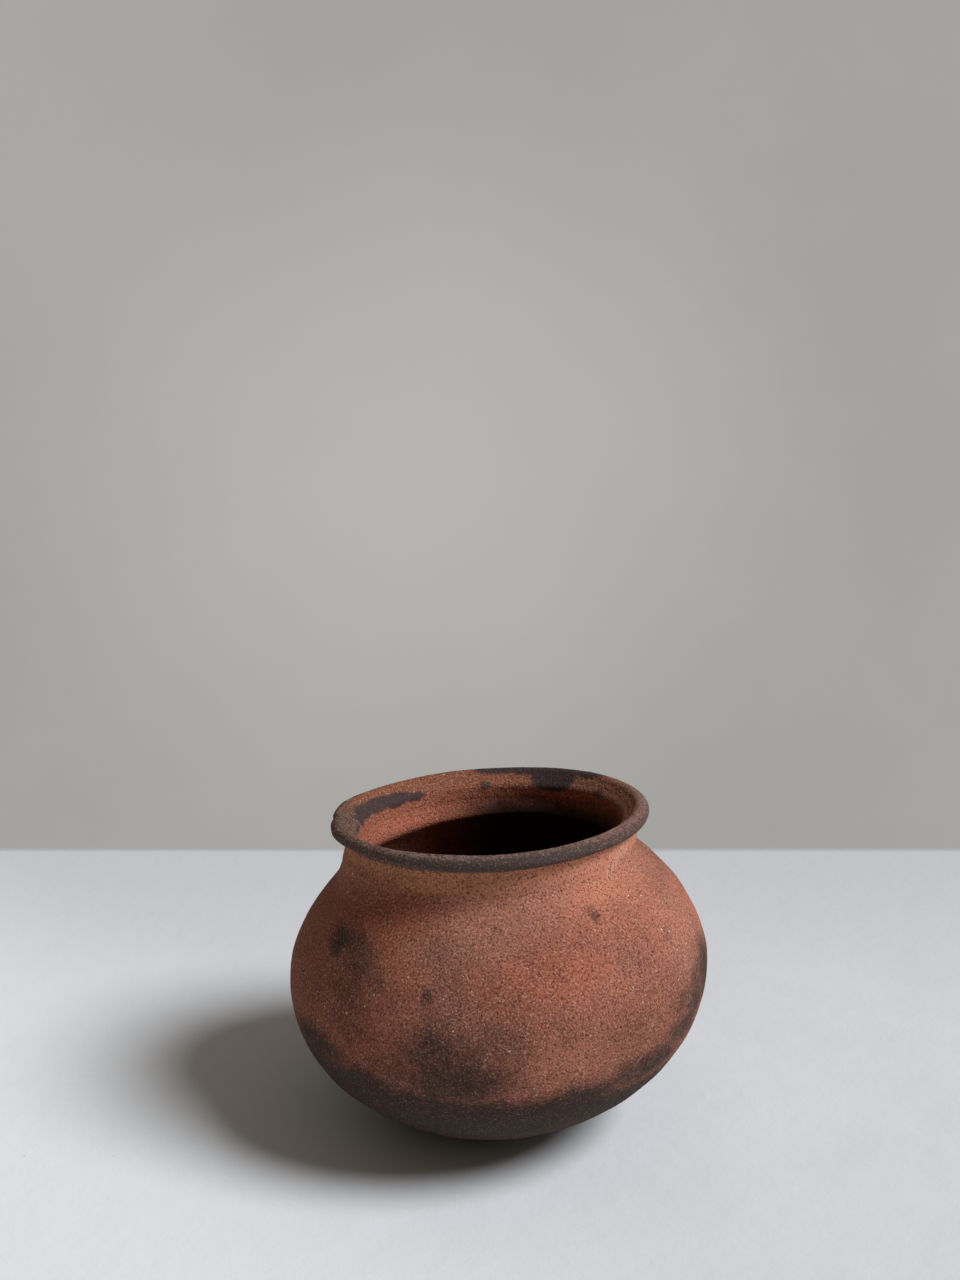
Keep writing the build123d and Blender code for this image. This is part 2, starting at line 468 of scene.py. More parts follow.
    def worked(self, points, normals, rim_share):
        """Moves smooth points to where the beater, the fingers and the wear left them."""
        hand = self.hand
        lumps = layer(points, hand.lump_size, 3)
        beaten = layer(points, hand.beaten_size, 11)
        grit = layer(points, hand.grit_size, 23)
        push = lumps * hand.lumps * (1 - 0.5 * rim_share)
        push = push + beaten * hand.beaten * (1 - 0.6 * rim_share) + grit * hand.grit
        moved = points + normals * push[..., None]
        middle = self.stand(np.array([self.sizes.rim_shift, 0.0, self.sizes.lip_height]))
        around = np.arctan2(points[..., 1] - middle[1], points[..., 0] - middle[0])
        wave = sum(share * np.sin(waves * around + start) for share, waves, start in RIM_WAVES)
        moved = moved + self.lean[:, 2] * (wave * hand.rim_wave * rim_share)[..., None]
        moved = moved + self.pressed(points, rim_share)
        for chip in CHIPS:
            moved = moved - normals * self.chip_depth(points, chip)[..., None]
        moved = moved - normals * self.wheel_depth(points, rim_share)[..., None]
        moved[..., 2] = np.maximum(moved[..., 2], 0.02 * MM * (1 + grit))
        return moved

    def rim_place(self, points):
        """Azimuth in degrees, radius and height of points in the rim's frame."""
        local = ((points - self.shift) @ self.lean - np.array([self.sizes.rim_shift, 0, 0])) @ self.rim_turn
        azimuth = np.degrees(np.arctan2(local[..., 1], local[..., 0])) % 360
        return azimuth, np.hypot(local[..., 0], local[..., 1]), local[..., 2]

    def pressed(self, points, rim_share):
        """The left of the rim, where thumbs filled the neck, thinned the lip and left a seam."""
        azimuth, radius, height = self.rim_place(points)
        outer = ease(73 * MM, 75 * MM, radius)
        lip = outer * np.minimum(1, 3 * rim_share)
        left = ease(120, 160, azimuth) * ease(250, 206, azimuth)
        waist = ease(48 * MM, 58 * MM, height) * ease(70 * MM, 62 * MM, height) * outer
        under = ease(79.5 * MM, 76 * MM, height) * ease(67 * MM, 72 * MM, height) * lip
        lifted = LIP_LIFT * ease(186, 205, azimuth) * ease(262, 232, azimuth) * under
        corner = np.exp(-((azimuth - CORNER_AZIMUTH) / CORNER_SPREAD) ** 2) * lip
        corner = CORNER_SWELL * corner * ease(75.5 * MM, 79 * MM, height) * ease(77 * MM, 80 * MM, radius)
        seam_line = SEAM_HEIGHT + 0.5 * MM * np.sin(azimuth / 5) + 1.0 * MM * ease(250, 225, azimuth)
        seam = np.exp(-((height - seam_line) / SEAM_WIDTH) ** 2) * lip
        seam = SEAM_DEPTH * seam * ease(186, 200, azimuth) * ease(250, 234, azimuth)
        outward = NECK_FILL * left * waist + corner - seam
        turn = np.radians(azimuth)
        local = np.stack([outward * np.cos(turn), outward * np.sin(turn), lifted + 0.4 * corner], axis=-1)
        return local @ self.rim_turn.T @ self.lean.T

    def chip_depth(self, points, chip):
        """How deep a chip cuts at each point."""
        azimuth, radius, height, width, depth = chip
        centre = self.on_rim(radius * MM, height * MM, np.array([math.radians(azimuth)]))[0, 0]
        away = np.linalg.norm(points - centre, axis=-1)
        return depth * MM * (1 - ease(0.35, 1.0, away / (width * MM)))

    def wheel_depth(self, points, rim_share):
        """Fine turning lines on the rim, as deep rings about its axis."""
        _, radius, height = self.rim_place(points)
        rings = np.sin(radius / (0.42 * MM)) + 0.6 * np.sin(radius / (0.97 * MM) + 1.3)
        on_flange = ease(76 * MM, 78 * MM, height + 0.6 * (81 * MM - radius))
        return self.hand.wheel_lines * rings * rim_share * on_flange * 0.5


def layer(points, size, seed):
    """Smooth noise between about -1 and 1, with lumps of the given size."""
    offset = Vector((seed * 1.7, seed * 0.9, seed * 2.3))
    values = [noise.noise(Vector(point) / size + offset) for point in points.reshape(-1, 3)]
    return np.array(values).reshape(points.shape[:-1]) * 1.6


SHAPE = {}


def pot_shape():
    """The pot's shape, worked out once for all its pieces."""
    scene = bpy.context.scene
    if "pot" not in SHAPE:
        SHAPE["pot"] = PotShape(scene.pot_sizes, scene.pot_hand)
    return SHAPE["pot"]


# Meshes

def clay_object(name, node, slot, points, normals, faces, joints):
    """A piece whose skin keeps the clay's own normals and whose joint faces stay flat; all are quads."""
    mesh = bpy.data.meshes.new(name)
    mesh.from_pydata(points.tolist(), [], faces + joints)
    mesh.validate()
    mesh.shade_smooth()
    corner_vertex = np.empty(len(mesh.loops), dtype=np.int32)
    mesh.loops.foreach_get("vertex_index", corner_vertex)
    corner_normals = normals[corner_vertex]
    flat = np.array([polygon.normal for polygon in mesh.polygons[len(faces):]])
    corner_normals[4 * len(faces):] = np.repeat(flat, 4, axis=0)
    mesh.normals_split_custom_set(corner_normals.tolist())
    mesh.materials.append(clay(slot))
    piece = bpy.data.objects.new(name, mesh)
    bpy.context.scene.collection.objects.link(piece)
    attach(piece, "root")
    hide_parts(node)


def strip_faces(lower, upper, columns):
    """Quads between two closed rows, given by the index of each row's first vertex."""
    return [(lower + k, lower + (k + 1) % columns, upper + (k + 1) % columns, upper + k)
            for k in range(columns)]


def ring_piece(name, node, slot, outside, inside=None):
    """A closed ring of clay: outside rows going up and, apart from the rim, inside rows going down."""
    shape = pot_shape()
    columns = shape.columns
    first, last = (shape.starts[key] for key in outside)
    rows, turn = list(range(first, last + 1)), last - first
    if inside:
        first, last = (shape.starts[key] for key in inside)
        rows += range(first, last + 1)
    faces, joints = [], []
    for k in range(len(rows) - 1):
        target = joints if inside and k == turn else faces
        target += strip_faces(k * columns, (k + 1) * columns, columns)
    joints += strip_faces((len(rows) - 1) * columns, 0, columns)
    points, normals = shape.skin[rows].reshape(-1, 3), shape.normals[rows].reshape(-1, 3)
    clay_object(name, node, slot, points, normals, faces, joints)


def bowl_piece(name, node, slot):
    """The round bottom: two caps and the joint between their borders."""
    shape = pot_shape()
    count = shape.sizes.columns_per_side
    size = (count + 1) ** 2
    points = np.stack([shape.outer_cap, shape.inner_cap]).reshape(-1, 3)
    normals = np.stack([shape.outer_cap_normals, shape.inner_cap_normals]).reshape(-1, 3)
    faces = []
    for i in range(count):
        for j in range(count):
            a = i * (count + 1) + j
            corners = (a, a + 1, a + count + 2, a + count + 1)
            faces.append(tuple(reversed(corners)))
            faces.append(tuple(size + corner for corner in corners))
    border = [i * (count + 1) + j for i, j in shape.cap_border()]
    joints = [(near, far, size + far, size + near) for near, far in zip(border, border[1:] + border[:1])]
    clay_object(name, node, slot, points, normals, faces, joints)


# Materials

class Wire:
    """A shader socket that takes part in Python arithmetic."""

    def __init__(self, desk, socket):
        self.desk, self.socket = desk, socket

    def maths(self, operation, *values):
        """A Math node of the given operation."""
        made = self.desk.add("ShaderNodeMath", {"operation": operation}, dict(enumerate(values)))
        return self.desk.out(made, 0)

    def __add__(self, other):
        return self.maths("ADD", self, other)

    def __radd__(self, other):
        return self.maths("ADD", other, self)

    def __sub__(self, other):
        return self.maths("SUBTRACT", self, other)

    def __rsub__(self, other):
        return self.maths("SUBTRACT", other, self)

    def __mul__(self, other):
        return self.maths("MULTIPLY", self, other)

    def __rmul__(self, other):
        return self.maths("MULTIPLY", other, self)

    def __truediv__(self, other):
        return self.maths("DIVIDE", self, other)

    def __pow__(self, other):
        return self.maths("POWER", self, other)

    def most(self, other):
        """The larger of two values."""
        return self.maths("MAXIMUM", self, other)

    def rise(self, low, high):
        """0 at low, 1 at high, and smooth between them; high may be the lower number."""
        made = self.desk.add("ShaderNodeMapRange", {"interpolation_type": "SMOOTHSTEP"},
                             {"Value": self, "From Min": low, "From Max": high})
        return self.desk.out(made, "Result")

    def rise_mm(self, low, high):
        """The same as rise, with both ends in millimetres."""
        return self.rise(low * MM, high * MM)


class Desk:
    """The node tree of a material or a world, with one method that makes any node."""

    def __init__(self, owner):
        owner.use_nodes = True
        self.owner, self.tree = owner, owner.node_tree
        self.tree.nodes.clear()

    def add(self, kind, settings=None, inputs=None):
        """A node of a type, with its settings first and then its sockets' values or links."""
        node = self.tree.nodes.new(kind)
        for key, value in (settings or {}).items():
            setattr(node, key, value)
        for key, value in (inputs or {}).items():
            if isinstance(value, Wire):
                self.tree.links.new(value.socket, node.inputs[key])
            else:
                node.inputs[key].default_value = value
        return node

    def out(self, node, key):
        """A node's output as a wire."""
        return Wire(self, node.outputs[key])

    def noise(self, place, size, detail=2.0, roughness=0.5, output="Fac"):
        """Noise of the given grain size in metres, as a value around a half."""
        made = self.add("ShaderNodeTexNoise", {}, {"Vector": place, "Scale": 1 / size, "Detail": detail,
                                                   "Roughness": roughness})
        return self.out(made, output)

    def mix(self, share, first, second):
        """A mix of two colours."""
        made = self.add("ShaderNodeMix", {"data_type": "RGBA"},
                        {0: share, 6: opaque(first), 7: opaque(second)})
        return self.out(made, 2)

    def layers(self, colour, tints):
        """A colour with tints laid over it one after another, each with its own share."""
        for share, tint in tints:
            colour = self.mix(share, colour, tint)
        return colour

    def vector(self, operation, inputs, output=0):
        """A Vector Math node of the given operation."""
        return self.out(self.add("ShaderNodeVectorMath", {"operation": operation}, inputs), output)

    def split(self, place):
        """The three parts of a vector."""
        made = self.add("ShaderNodeSeparateXYZ", {}, {0: place})
        return [self.out(made, k) for k in range(3)]

    def seen_from(self, place, origin, turn, size=(1.0, 1.0, 1.0)):
        """A place as seen from a frame with the given origin, turn and size."""
        inputs = {"Vector": place, "Location": tuple(origin), "Scale": tuple(size),
                  "Rotation": tuple(Matrix(turn.tolist()).to_euler())}
        return self.out(self.add("ShaderNodeMapping", {"vector_type": "TEXTURE"}, inputs), 0)

    def sway(self, place, size, reach):
        """A place moved by noise, so that what is drawn there gets ragged edges."""
        colours = self.noise(place, size, 3.0, output="Color")
        centred = self.vector("SUBTRACT", {0: colours, 1: (0.5, 0.5, 0.5)})
        return self.vector("ADD", {0: place, 1: self.vector("SCALE", {0: centred, "Scale": reach})})

    def surface(self, inputs, height, strength, depth):
        """Ends a material in one surface, roughened by a bump of the given height."""
        bump = self.add("ShaderNodeBump", {}, {"Height": height, "Strength": strength, "Distance": depth})
        shader = self.add("ShaderNodeBsdfPrincipled", {}, {**inputs, "Normal": self.out(bump, 0)})
        self.add("ShaderNodeOutputMaterial", {}, {"Surface": self.out(shader, 0)})
        return self.owner


def opaque(colour):
    """A colour as a socket wants it."""
    return colour if isinstance(colour, Wire) else (*colour, 1.0)


def dimmed(colour, factor):
    """A colour made darker or lighter."""
    return [factor * value for value in colour]


# Smoke marks and tints: where they lie, how wide and high they reach in mm, how soft their
# edges are and how strong they are. Body marks are placed by azimuth and height above the
# belly line, rim marks by azimuth, radius and height on the rim. Azimuth 270 is the front, 0
# the right, 90 the back and 180 the left.
BODY_SOOT = (
    # The patch on the left shoulder and its haze
    (217, 41, 9, 8.5, 1.0, 0.74), (223, 43, 11, 8, 1.0, 0.62), (229, 36, 13, 10, 1.0, 0.62),
    (227, 26, 12, 11, 1.0, 0.48), (236, 31, 6, 7, 0.9, 0.50), (226, 28, 28, 26, 1.0, 0.34),
    # Low on the left
    (230, 8, 18, 10, 1.0, 0.44), (240, -6, 44, 20, 1.0, 0.34), (215, -8, 26, 11, 1.0, 0.84),
    (230, -20, 28, 11, 1.0, 0.92), (245, -29, 30, 11, 1.0, 0.96),
    # The dot and the cloud at the front
    (252, 26, 2.8, 3.0, 0.9, 0.62), (254, 2, 18, 13, 1.0, 0.66), (258, -13, 28, 15, 1.0, 0.74),
    (243, -8, 20, 11, 1.0, 0.56), (271, 3, 18, 11, 1.0, 0.48), (290, 6, 16, 9, 1.0, 0.34),
    # Spots on the right of the shoulder and belly
    (304.8, 48.6, 4.2, 4.0, 1.0, 0.58), (315, 46, 5, 5, 1.0, 0.30), (328, 27, 5, 6, 1.0, 0.36),
    # The right edge
    (342, -2, 16, 14, 1.0, 0.84), (334, -9, 16, 12, 1.0, 0.72), (324, -4, 14, 9, 1.0, 0.52),
    (326, -19, 22, 10, 1.0, 0.70), (308, -4, 30, 20, 1.0, 0.40),
    # Low on the right and at the front
    (312, -28, 26, 10, 1.0, 0.80), (285, -32, 30, 10, 1.0, 0.88),
    # The back
    (70, 8, 34, 20, 1.0, 0.62), (100, 38, 18, 10, 1.0, 0.48), (150, -12, 30, 14, 1.0, 0.60),
    (38, 30, 9, 7, 0.9, 0.50),
)
VIVID_CLAY = (
    (230, 57, 28, 10, 0.9, 1.0), (284, 34, 22, 14, 1.0, 0.5), (310, 50, 34, 12, 1.0, 0.4),
    (232, -2, 18, 12, 1.0, 0.6), (50, 20, 40, 22, 1.0, 0.5), (140, 30, 40, 20, 1.0, 0.5),
)
# Greyish sandy clay at the front of the shoulder and low at the front, with a painted sheen.
SANDY_CLAY_AND_SHEEN = ((266, 50, 26, 14, 1.0, 1.0), (275, 58, 24, 8, 1.0, 0.7), (290, -8, 30, 12, 1.0, 0.4))
# Painted light on the right of the neck, shoulder and belly, where the window light falls.
PAINTED_LIGHT_RIGHT = ((324, 68, 44, 9, 1.0, 1.0), (318, 58, 36, 14, 1.0, 0.58), (338, 24, 18, 26, 1.0, 0.4))
# Painted shade on the left side and the left of the neck, away from the window.
PAINTED_SHADE_LEFT = ((204, 12, 50, 58, 1.0, 1.0), (222, 63, 30, 11, 1.0, 0.9))
RIM_STAINS = (
    # The long stain at the back left
    (179, 69.6, 74.9, 5, 2.0, 0.30, 0.80), (169, 70.4, 76.0, 4, 4.0, 0.25, 0.88),
    (161, 72.0, 78.0, 9, 4.6, 0.25, 0.92), (150, 71.4, 77.3, 13, 4.4, 0.25, 0.92),
    (138, 70.5, 76.2, 12, 4.0, 0.25, 0.94), (128, 69.8, 75.2, 7, 2.6, 0.30, 0.92),
    # The stain at the back and its band along the lip
    (59.5, 74.2, 80.0, 15, 10.5, 0.18, 0.95), (86, 78.8, 83.3, 18, 5.2, 0.25, 0.94),
    (68, 79.0, 83.2, 24, 6.8, 0.25, 0.95), (44, 78.8, 83.2, 14, 4.6, 0.30, 0.90),
    # Two dots
    (92, 69.8, 75.5, 3.2, 2.6, 0.4, 0.75), (32, 70.0, 75.7, 3.4, 2.0, 0.4, 0.75),
)
# Pale strokes where the neck was scraped: azimuth, height, width, length, slant in degrees.
SCRATCHES = (
    (325, 62, 0.7, 5.0, 34),
    (327, 65, 0.9, 6.5, 38),
    (329, 67, 0.7, 6.0, 36),
    (331, 69, 0.9, 5.5, 32),
    (334, 66, 0.6, 5.0, 30),
    (321, 61, 0.6, 4.0, 30),
    (311, -6, 0.5, 3.2, 38),
    (307, -22, 0.5, 3.6, 42),
)


def clay_material(name, colours, shape):
    """Matt sandy clay with grit, fired unevenly and marked by smoke, with painted light and painted shade
    over it.
    """
    desk = Desk(bpy.data.materials.new(name))
    place = desk.out(desk.add("ShaderNodeTexCoord"), "Object")
    zones = ClayZones(desk, place, shape)
    fine, coarse = zones.fine, zones.coarse
    pale = fine.rise(0.54, 0.68)
    dark = (coarse.rise(0.46, 0.30) * 0.8).most(fine.rise(0.47, 0.32))
    cells = desk.add("ShaderNodeTexVoronoi", {}, {"Vector": place, "Scale": 1 / (4.2 * MM)})
    chosen = desk.add("ShaderNodeSeparateColor", {}, {0: desk.out(cells, "Color")})
    size = desk.out(chosen, 1) * 0.10 + 0.04
    quartz = (desk.out(cells, "Distance") / size).rise(1.1, 0.7) * desk.out(chosen, 0).rise(0.62, 0.66)
    charcoal, stain = zones.lip_soot(), zones.stains()

    tone = desk.noise(place, 42 * MM, 4.0, 0.55).rise(0.36, 0.66)
    colour = desk.layers(desk.mix(tone, colours.brown, colours.red), (
        (zones.marks(VIVID_CLAY) * 0.75, colours.vivid),
        (zones.ochre() * 0.80, colours.ochre),
        # Sandy clay and painted sheen at the front.
        (zones.marks(SANDY_CLAY_AND_SHEEN) * 0.45, colours.sand),
        (zones.mottle.rise(0.58, 0.38) * 0.38, colours.brown),
        # Painted shade on the left side.
        (zones.marks(PAINTED_SHADE_LEFT) * 0.85, colours.dusky),
        # Painted light on the right shoulder and neck.
        (zones.marks(PAINTED_LIGHT_RIGHT) * 0.82, colours.pale),
        (zones.inside * 0.70, colours.inner),
        (zones.lip(), colours.lip_brown),
        (zones.back_rim() * 0.72, colours.dusky),
        (zones.scratches() * 0.80, colours.pale_grain),
        (dark * 0.82, colours.dark_grain),
        (pale * 0.50, colours.pale_grain),
        (quartz * 0.85, colours.quartz),
        (zones.soot() * (1.0 - pale * 0.30), colours.soot),
        (zones.ash() * 0.20, colours.ash),
        (charcoal * (1.0 - pale * 0.45), colours.charcoal),
        # Painted highlight on the top of the lip.
        (zones.rubbed_and_lit() * (1.0 - dark * 0.6), colours.rubbed_and_lit),
        # Painted shade on the inner wall below the neck.
        (zones.painted_inner_shade(), colours.painted_inner_shade),
        (stain * (1.0 - pale * 0.15), colours.plum_soot),
    ))
    inputs = {"Base Color": colour, "Roughness": 0.93 - stain * 0.18 - charcoal * 0.12,
              "Specular IOR Level": 0.22}
    return desk.surface(inputs, fine * 0.45 + coarse * 0.55 + quartz * 0.3, 1.0, 0.75 * MM)


class ClayZones:
    """Masks for the places where the clay took smoke or another colour, and for painted light and shade."""

    def __init__(self, desk, place, shape):
        self.desk, self.shape = desk, shape
        self.mottle = desk.noise(place, 9 * MM, 4.0, 0.65)
        self.coarse = desk.noise(place, 1.9 * MM, 3.0, 0.6)
        self.fine = desk.noise(place, 0.95 * MM, 2.0, 0.55)
        self.soft_place = desk.sway(place, 11 * MM, 11 * MM)
        self.crisp_place = desk.sway(place, 7 * MM, 3.6 * MM)
        self.body = self.local(place, shape.lean, shape.shift)
        middle = shape.stand(np.array([shape.sizes.rim_shift, 0.0, 0.0]))
        self.rim = self.local(place, shape.lean @ shape.rim_turn, middle)
        self.to_back_left = self.rim.depth - self.rim.side * 0.35
        self.inside = self.inner_face()

    def local(self, place, turn, origin):
        """Radius, height, side and depth in a frame of the pot, as wires."""
        side, depth, height = self.desk.split(self.desk.seen_from(place, origin, turn))
        radius = (side * side + depth * depth) ** 0.5
        return SimpleNamespace(radius=radius, height=height, side=side, depth=depth)

    def blot(self, place, centre, axes, reach, softness):
        """1 inside an ellipsoid that lies on the clay, fading to 0 outside it."""
        seen = self.desk.seen_from(place, centre, np.array(axes).T, reach)
        return self.desk.vector("LENGTH", {0: seen}, "Value").rise(1 + softness, 1 - 0.8 * softness)

    @staticmethod
    def ways(azimuth):
        """The directions around and outward at an azimuth in degrees."""
        turn = math.radians(azimuth)
        return (np.array([-math.sin(turn), math.cos(turn), 0.0]),
                np.array([math.cos(turn), math.sin(turn), 0.0]))

    def body_blot(self, azimuth, height, wide, high, softness, slant=0.0, place=None):
        """A blot on the outside of the body, slanting to the right by some degrees."""
        shape = self.shape
        radii, heights = shape.outside(np.linspace(-89, shape.mouth_angle, 400))
        radius, radius_above = np.interp([height * MM, (height + 1) * MM], heights, radii)
        centre = shape.on_body(radius, height * MM, np.radians([azimuth]))[0, 0]
        around, away = self.ways(azimuth)
        rising = away * (radius_above - radius) + np.array([0.0, 0.0, 1 * MM])
        rising /= np.linalg.norm(rising)
        outward = np.cross(around, rising)
        lean = math.radians(slant)
        across = around * math.cos(lean) - rising * math.sin(lean)
        axes = [shape.lean @ way for way in (across, np.cross(outward, across), outward)]
        reach = (wide * MM, high * MM, max(0.6 * (wide + high), 5.0) * MM)
        return self.blot(place or self.soft_place, centre, axes, reach, softness)

    def rim_blot(self, azimuth, radius, height, wide, high, softness):
        """A blot on the sloping top of the rim."""
        shape = self.shape
        centre = shape.on_rim(radius * MM, height * MM, np.radians([azimuth]))[0, 0]
        around, away = self.ways(azimuth)
        rising = away * math.cos(FLANGE_SLOPE) + np.array([0, 0, math.sin(FLANGE_SLOPE)])
        axes = [shape.lean @ shape.rim_turn @ way for way in (around, rising, np.cross(around, rising))]
        return self.blot(self.crisp_place, centre, axes, (wide * MM, high * MM, 4 * MM), softness)

    def union(self, masks):
        """The strongest of several masks."""
        total = masks[0]
        for mask in masks[1:]:
            total = total.most(mask)
        return total

    def marks(self, table):
        """The marks of one table on the body."""
        return self.union([self.body_blot(*place) * strength for *place, strength in table])

    def ragged(self, length, noise_wire, reach):
        """A length made uneven by noise, by up to half a reach in millimetres to either side."""
        return length + (noise_wire - 0.5) * (reach * MM)

    def inner_face(self):
        """1 on the inner face of the wall and 0 on the outer."""
        sizes, body, rim = self.shape.sizes, self.body, self.rim
        across = body.radius / (sizes.belly_radius - sizes.wall_belly / 2)
        above = body.height.most(0.0) / (sizes.shoulder_height - sizes.wall_shoulder / 2)
        under = (0 - body.height).most(0.0) / (sizes.bowl_depth - sizes.wall_base / 2)
        upper = across ** SHOULDER_EXPONENT + above ** SHOULDER_EXPONENT
        lower = across ** BOWL_EXPONENT + under ** BOWL_EXPONENT
        in_neck = rim.height.rise_mm(40, 44) * rim.height.rise_mm(75.5, 72.5)
        in_neck = in_neck * rim.radius.rise_mm(73.5, 72.5)
        return upper.most(lower).rise(1.02, 0.98).most(in_neck)

    def soot(self):
        """Smoke on the body and the bottom, ragged with the clay's mottle."""
        low = self.ragged(self.body.height + self.body.side * 0.16, self.mottle, 26)
        marks = self.marks(BODY_SOOT).most(low.rise_mm(-12, -36))
        grain = (self.mottle - 0.5) * 0.7 + (self.coarse - 0.5) * 0.7 - (self.fine - 0.5) * 0.5
        return (marks + grain).rise(0.02, 0.96) * 0.97

    def ash(self):
        """Greyish bloom on the lowest part."""
        low = self.ragged(self.body.height, self.mottle, 20)
        return low.rise_mm(-30, -44) * self.coarse.rise(0.40, 0.62)

    def painted_inner_shade(self):
        """Painted shade on the inner wall from the neck down, most at the back and right, and faintly
        towards the bottom.
        """
        back = (self.rim.side + self.rim.depth * 0.2).rise_mm(-30, 22)
        high = self.ragged(self.rim.height, self.mottle, 8).rise_mm(75, 61)
        return self.inside * (high * back).most(self.body.height.rise_mm(50, 0) * 0.25)

    def ochre(self):
        """The yellowish band under the rim."""
        return self.body.height.rise_mm(62, 69) * self.rim.radius.rise_mm(82, 79) * (1.0 - self.inside)

    def back_rim(self):
        """The back of the rim's slope, redder than the rest of it."""
        slope = self.rim.height.rise_mm(73, 75) * self.rim.radius.rise_mm(81.5, 79.5)
        return slope * self.to_back_left.rise_mm(30, 62)

    def rubbed_and_lit(self):
        """Painted highlight on the top of the lip at the front and the right, where light falls from above.
        """
        top = self.rim.height.rise_mm(81.2, 83) * self.rim.radius.rise_mm(75.5, 78.5)
        front = (self.rim.side * 0.6 - self.rim.depth).rise_mm(10, 55)
        return top * front * self.coarse.rise(0.38, 0.62) * 0.92

    def stains(self):
        """Crisp dark stains on the rim."""
        return self.union([self.rim_blot(*place) * strength for *place, strength in RIM_STAINS])

    def lip(self):
        """The rim browned by smoke, most at its outer third and least at the back left."""
        outer = self.ragged(self.rim.radius, self.mottle, 8).rise_mm(72.5, 78.5)
        left = (0 - self.rim.side).rise_mm(48, 72)
        right = self.rim.side.rise_mm(30, 62)
        clean = (self.to_back_left.rise_mm(38, 70) * 0.30).most(right * 0.34)
        return (outer * 0.30 + 0.64).most(left * 0.95) * self.rim.height.rise_mm(73, 75) * (1.0 - clean)

    def lip_soot(self):
        """Smoke along the outer edge of the lip, stronger in front."""
        rim = self.rim
        outer = self.ragged(rim.radius, self.coarse, 2.0).rise_mm(78.8, 80.6)
        band = self.ragged(rim.height, self.coarse, 2.0).rise_mm(73.4, 74.8)
        front = (rim.side * 0.25 - rim.depth).rise_mm(-30, 50) * 0.78 + 0.18
        # The smoke thins towards the top of the lip: a painted highlight where light falls from above.
        top = rim.height.rise_mm(83.2, 80.4) * 0.6 + 0.4
        ends = ((0 - rim.side).rise_mm(20, 72) * 0.42).most(rim.side.rise_mm(52, 78) * 0.12)
        return outer * band * front * top * (self.mottle.rise(0.32, 0.58) * 0.36 + 0.66) * (1.0 - ends)

    def scratches(self):
        """Pale strokes on the right of the neck and low on the right."""
        return self.union([self.body_blot(azimuth, height, wide, long, 0.8, slant, self.crisp_place)
                           for azimuth, height, wide, long, slant in SCRATCHES])


MATERIALS = {}


def clay(slot):
    """The material of one of the record's slots, made once."""
    if slot not in MATERIALS:
        MATERIALS[slot] = clay_material(slot, bpy.context.scene.pot_colours, pot_shape())
    return MATERIALS[slot]


# Operators

class BaseBowlOperator(bpy.types.Operator):
    """Makes the beaten round bottom."""

    bl_idname = "clay_pot.base_bowl"
    bl_label = "Base bowl"

    def execute(self, context):
        bowl_piece("round_base", "base_bowl", "smoked_clay")
        return {"FINISHED"}


class BodyCoursesOperator(bpy.types.Operator):
    """Makes the three courses of the body's wall."""

    bl_idname = "clay_pot.body_courses"
    bl_label = "Body courses"

    def execute(self, context):
        ring_piece("belly_course_lower", "lower_belly_band", "fired_clay",
                   ("lower_outside", "upper_outside"), ("lower_inside", "below_inside"))
        ring_piece("belly_course_upper", "upper_belly_band", "fired_clay",
                   ("upper_outside", "shoulder_outside"), ("upper_inside", "lower_inside"))
        ring_piece("shoulder_course", "shoulder_band", "fired_clay",
                   ("shoulder_outside", "neck_outside"), ("shoulder_inside", "upper_inside"))
        return {"FINISHED"}


class NeckCollarOperator(bpy.types.Operator):
    """Makes the short collar under the rim."""

    bl_idname = "clay_pot.neck_collar"
    bl_label = "Neck collar"

    def execute(self, context):
        ring_piece("collar", "neck_collar", "fired_clay",
                   ("neck_outside", "rim"), ("neck_inside", "shoulder_inside"))
        return {"FINISHED"}


class RimLipOperator(bpy.types.Operator):
    """Makes the flaring thick rim."""

    bl_idname = "clay_pot.rim_lip"
    bl_label = "Rim lip"

    def execute(self, context):
        ring_piece("flared_rim", "rim_lip", "smoked_clay", ("rim", "neck_inside"))
        return {"FINISHED"}


class StudioOperator(bpy.types.Operator):
    """Makes the floor, the lights and the camera."""

    bl_idname = "clay_pot.studio"
    bl_label = "Studio"

    def execute(self, context):
        settings = context.scene.pot_studio
        make_floor(settings)
        make_lights(settings)
        make_camera(settings)
        context.scene.view_settings.view_transform = "Standard"
        return {"FINISHED"}


def make_floor(settings):
    """A broad slab of pale plaster that ends a little behind the pot."""
    side, near, thick = 3.0, -3.0, 0.05
    corners = [(-side, near), (side, near), (side, settings.floor_end), (-side, settings.floor_end)]
    points = [(x, y, z) for z in (-thick, 0.0) for x, y in corners]
    faces = [(4, 5, 6, 7), (3, 2, 1, 0)] + [(k, (k + 1) % 4, 4 + (k + 1) % 4, 4 + k) for k in range(4)]
    mesh = bpy.data.meshes.new("studio_floor")
    mesh.from_pydata(points, [], faces)
    mesh.materials.append(plaster(settings))
    floor = bpy.data.objects.new("studio_floor", mesh)
    bpy.context.scene.collection.objects.link(floor)


